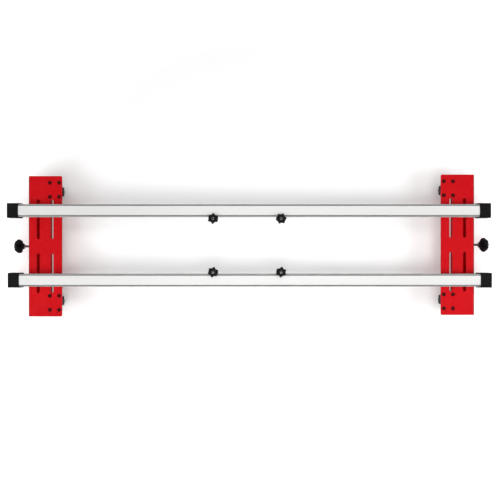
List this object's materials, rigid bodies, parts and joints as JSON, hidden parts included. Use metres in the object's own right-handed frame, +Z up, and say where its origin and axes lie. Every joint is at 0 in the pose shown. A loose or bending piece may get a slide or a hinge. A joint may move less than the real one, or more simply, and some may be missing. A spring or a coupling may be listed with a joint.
{
  "type": "router sled",
  "caption": "Slab flattening router sled: two channelled aluminium rails on red folded end brackets with wheels, star-knob stops and end lock screws",
  "frame": {"origin": "on the floor under the middle of the object, midway between the outer faces of the two brackets", "axes": "+X along the rails to the right end, +Y across them to the rear rail, +Z up from the floor"},
  "size_m": [1.5392, 0.4548, 0.1695],
  "materials": {
    "red_paint": "gloss powder coat on folded steel",
    "rail_aluminium": "extruded and clear anodised, fine lines along the length",
    "cap_plastic": "moulded, fine grain",
    "knob_plastic": "moulded, satin",
    "stop_plastic": "moulded",
    "zinc_steel": "zinc plated",
    "black_oxide": "blackened countersunk screws with hex sockets",
    "bush_nylon": "natural nylon",
    "tyre_rubber": "moulded tyre on its core"
  },
  "bodies": {
    "left_end": {"left_bracket": "red_paint", "rear_left_leg": "red_paint", "front_left_leg": "red_paint"},
    "right_end": {"right_bracket": "red_paint", "rear_right_leg": "red_paint", "front_right_leg": "red_paint"},
    "rear_rail_unit": {"rear_rail": "rail_aluminium", "rear_left_cap": "cap_plastic", "rear_right_cap": "cap_plastic", "rear_left_outer_clamp_bolt": "zinc_steel", "rear_left_outer_clamp_nut": "zinc_steel", "rear_left_inner_clamp_bolt": "zinc_steel", "rear_left_inner_clamp_nut": "zinc_steel"},
    "rear_right_clamps": {"rear_right_outer_clamp_bolt": "zinc_steel", "rear_right_outer_clamp_nut": "zinc_steel", "rear_right_inner_clamp_bolt": "zinc_steel", "rear_right_inner_clamp_nut": "zinc_steel"},
    "front_rail_unit": {"front_rail": "rail_aluminium", "front_left_cap": "cap_plastic", "front_right_cap": "cap_plastic", "front_left_outer_clamp_bolt": "zinc_steel", "front_left_outer_clamp_nut": "zinc_steel", "front_left_inner_clamp_bolt": "zinc_steel", "front_left_inner_clamp_nut": "zinc_steel"},
    "front_right_clamps": {"front_right_outer_clamp_bolt": "zinc_steel", "front_right_outer_clamp_nut": "zinc_steel", "front_right_inner_clamp_bolt": "zinc_steel", "front_right_inner_clamp_nut": "zinc_steel"},
    "rear_left_stop": {"rear_left_stop_block": "stop_plastic", "rear_left_stop_washer": "zinc_steel"},
    "rear_left_star": {"rear_left_stop_knob": "knob_plastic"},
    "rear_left_axle": {"rear_left_axle_bolt": "zinc_steel", "rear_left_bush": "bush_nylon"},
    "rear_left_roller": {"rear_left_wheel": "tyre_rubber"},
    "rear_left_wheel_star": {"rear_left_wheel_knob": "knob_plastic"},
    "rear_right_stop": {"rear_right_stop_block": "stop_plastic", "rear_right_stop_washer": "zinc_steel"},
    "rear_right_star": {"rear_right_stop_knob": "knob_plastic"},
    "rear_right_axle": {"rear_right_axle_bolt": "zinc_steel", "rear_right_bush": "bush_nylon"},
    "rear_right_roller": {"rear_right_wheel": "tyre_rubber"},
    "rear_right_wheel_star": {"rear_right_wheel_knob": "knob_plastic"},
    "front_left_stop": {"front_left_stop_block": "stop_plastic", "front_left_stop_washer": "zinc_steel"},
    "front_left_star": {"front_left_stop_knob": "knob_plastic"},
    "front_left_axle": {"front_left_axle_bolt": "zinc_steel", "front_left_bush": "bush_nylon"},
    "front_left_roller": {"front_left_wheel": "tyre_rubber"},
    "front_left_wheel_star": {"front_left_wheel_knob": "knob_plastic"},
    "front_right_stop": {"front_right_stop_block": "stop_plastic", "front_right_stop_washer": "zinc_steel"},
    "front_right_star": {"front_right_stop_knob": "knob_plastic"},
    "front_right_axle": {"front_right_axle_bolt": "zinc_steel", "front_right_bush": "bush_nylon"},
    "front_right_roller": {"front_right_wheel": "tyre_rubber"},
    "front_right_wheel_star": {"front_right_wheel_knob": "knob_plastic"},
    "left_lock_shaft": {"left_lock_screw": "zinc_steel"},
    "left_lock_grip": {"left_lock_knob": "knob_plastic"},
    "right_lock_shaft": {"right_lock_screw": "zinc_steel"},
    "right_lock_grip": {"right_lock_knob": "knob_plastic"}
  },
  "joints": [
    {"name": "span_slide", "type": "slide", "parent": "left_end", "child": "right_end", "axis": [1, 0, 0], "range_m": [-1.18, 0.0027]},
    {"name": "rear_rail_slide", "type": "slide", "parent": "left_end", "child": "rear_rail_unit", "axis": [0, 1, 0], "range_m": [-0.065, 0.028]},
    {"name": "rear_right_clamp_slide", "type": "slide", "parent": "rear_rail_unit", "child": "rear_right_clamps", "axis": [1, 0, 0], "range_m": [-1.18, 0.0027]},
    {"name": "front_rail_slide", "type": "slide", "parent": "left_end", "child": "front_rail_unit", "axis": [0, 1, 0], "range_m": [-0.028, 0.065]},
    {"name": "front_right_clamp_slide", "type": "slide", "parent": "front_rail_unit", "child": "front_right_clamps", "axis": [1, 0, 0], "range_m": [-1.18, 0.0027]},
    {"name": "rear_left_stop_slide", "type": "slide", "parent": "rear_rail_unit", "child": "rear_left_stop", "axis": [1, 0, 0], "range_m": [-0.585, 0.089]},
    {"name": "rear_left_star_turn", "type": "hinge", "parent": "rear_left_stop", "child": "rear_left_star", "pos_m": [-0.1208, 0.084, 0.1555], "axis": [0, 0, 1], "range_deg": [0, 360]},
    {"name": "rear_right_stop_slide", "type": "slide", "parent": "rear_rail_unit", "child": "rear_right_stop", "axis": [1, 0, 0], "range_m": [-0.089, 0.6]},
    {"name": "rear_right_star_turn", "type": "hinge", "parent": "rear_right_stop", "child": "rear_right_star", "pos_m": [0.0933, 0.084, 0.1555], "axis": [0, 0, 1], "range_deg": [0, 360]},
    {"name": "front_left_stop_slide", "type": "slide", "parent": "front_rail_unit", "child": "front_left_stop", "axis": [1, 0, 0], "range_m": [-0.585, 0.089]},
    {"name": "front_left_star_turn", "type": "hinge", "parent": "front_left_stop", "child": "front_left_star", "pos_m": [-0.1208, -0.084, 0.1555], "axis": [0, 0, 1], "range_deg": [0, 360]},
    {"name": "front_right_stop_slide", "type": "slide", "parent": "front_rail_unit", "child": "front_right_stop", "axis": [1, 0, 0], "range_m": [-0.089, 0.6]},
    {"name": "front_right_star_turn", "type": "hinge", "parent": "front_right_stop", "child": "front_right_star", "pos_m": [0.0933, -0.084, 0.1555], "axis": [0, 0, 1], "range_deg": [0, 360]},
    {"name": "left_lock_travel", "type": "slide", "parent": "left_end", "child": "left_lock_shaft", "axis": [1, 0, 0], "range_m": [-0.002, 0.02]},
    {"name": "left_lock_turn", "type": "hinge", "parent": "left_lock_shaft", "child": "left_lock_grip", "pos_m": [-0.74825, -0.0026, 0.073], "axis": [1, 0, 0], "range_deg": [-576, 5760]},
    {"name": "rear_left_axle_lift", "type": "slide", "parent": "left_end", "child": "rear_left_axle", "axis": [0, 0, 1], "range_m": [0, 0.03]},
    {"name": "rear_left_wheel_spin", "type": "hinge", "parent": "rear_left_axle", "child": "rear_left_roller", "pos_m": [-0.6444, 0.1784, 0.025], "axis": [1, 0, 0], "continuous": true},
    {"name": "rear_left_wheel_star_turn", "type": "hinge", "parent": "rear_left_axle", "child": "rear_left_wheel_star", "pos_m": [-0.6367, 0.1784, 0.025], "axis": [1, 0, 0], "range_deg": [0, 360]},
    {"name": "front_left_axle_lift", "type": "slide", "parent": "left_end", "child": "front_left_axle", "axis": [0, 0, 1], "range_m": [0, 0.03]},
    {"name": "front_left_wheel_spin", "type": "hinge", "parent": "front_left_axle", "child": "front_left_roller", "pos_m": [-0.6444, -0.1836, 0.025], "axis": [1, 0, 0], "continuous": true},
    {"name": "front_left_wheel_star_turn", "type": "hinge", "parent": "front_left_axle", "child": "front_left_wheel_star", "pos_m": [-0.6367, -0.1836, 0.025], "axis": [1, 0, 0], "range_deg": [0, 360]},
    {"name": "right_lock_travel", "type": "slide", "parent": "right_end", "child": "right_lock_shaft", "axis": [-1, 0, 0], "range_m": [-0.002, 0.02]},
    {"name": "right_lock_turn", "type": "hinge", "parent": "right_lock_shaft", "child": "right_lock_grip", "pos_m": [0.74825, 0.0022, 0.073], "axis": [-1, 0, 0], "range_deg": [-576, 5760]},
    {"name": "rear_right_axle_lift", "type": "slide", "parent": "right_end", "child": "rear_right_axle", "axis": [0, 0, 1], "range_m": [0, 0.03]},
    {"name": "rear_right_wheel_spin", "type": "hinge", "parent": "rear_right_axle", "child": "rear_right_roller", "pos_m": [0.6444, 0.1832, 0.025], "axis": [1, 0, 0], "continuous": true},
    {"name": "rear_right_wheel_star_turn", "type": "hinge", "parent": "rear_right_axle", "child": "rear_right_wheel_star", "pos_m": [0.6367, 0.1832, 0.025], "axis": [-1, 0, 0], "range_deg": [0, 360]},
    {"name": "front_right_axle_lift", "type": "slide", "parent": "right_end", "child": "front_right_axle", "axis": [0, 0, 1], "range_m": [0, 0.03]},
    {"name": "front_right_wheel_spin", "type": "hinge", "parent": "front_right_axle", "child": "front_right_roller", "pos_m": [0.6444, -0.1788, 0.025], "axis": [1, 0, 0], "continuous": true},
    {"name": "front_right_wheel_star_turn", "type": "hinge", "parent": "front_right_axle", "child": "front_right_wheel_star", "pos_m": [0.6367, -0.1788, 0.025], "axis": [-1, 0, 0], "range_deg": [0, 360]}
  ],
  "couplings": [
    {"joint": "rear_right_clamp_slide", "follows": "span_slide", "ratio": 1},
    {"joint": "front_right_clamp_slide", "follows": "span_slide", "ratio": 1},
    {"joint": "left_lock_travel", "follows": "left_lock_turn", "m_per_rad": 0.00019894},
    {"joint": "right_lock_travel", "follows": "right_lock_turn", "m_per_rad": 0.00019894}
  ]
}
